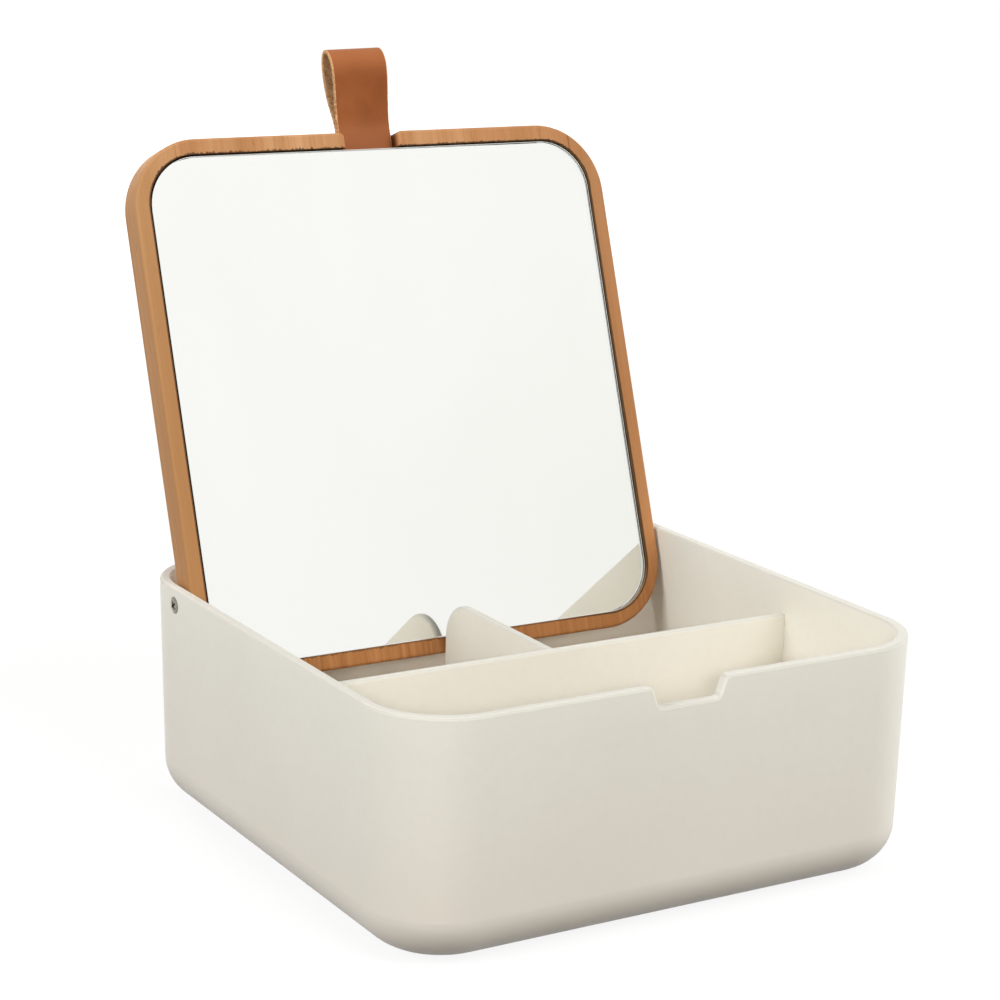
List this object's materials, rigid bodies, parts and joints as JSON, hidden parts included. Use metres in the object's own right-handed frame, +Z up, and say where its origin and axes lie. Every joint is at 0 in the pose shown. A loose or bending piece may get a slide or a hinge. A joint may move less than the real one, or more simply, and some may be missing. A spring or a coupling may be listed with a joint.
{
  "type": "vanity box with mirror",
  "caption": "Square ivory vanity box with rounded corners, moulded dividers and a hinged bamboo lid that holds a mirror inside and lifts by a leather loop.",
  "frame": {"origin": "middle of the tray's flat base, on the surface the box stands on", "axes": "+Z up; +X to the right seen from the front; +Y from the front rim, with its dip for the strap, towards the hinge end"},
  "size_m": [0.1808, 0.209, 0.2305],
  "materials": {
    "tray_plastic": "satin",
    "bamboo": "satin",
    "mirror": "polished",
    "tape": "matte",
    "leather": "matte",
    "screw_steel": "satin"
  },
  "bodies": {
    "tray": {"tray": "tray_plastic"},
    "lid": {"lid_board": "bamboo", "mirror_glass": "mirror", "mirror_tape": "tape", "strap": "leather", "pivot_screw_left": "screw_steel", "pivot_screw_right": "screw_steel"}
  },
  "joints": [
    {"name": "lid_hinge", "type": "hinge", "parent": "tray", "child": "lid", "pos_m": [0, 0.0588, 0.0672], "axis": [1, 0, 0], "range_deg": [0, 109.2]}
  ]
}
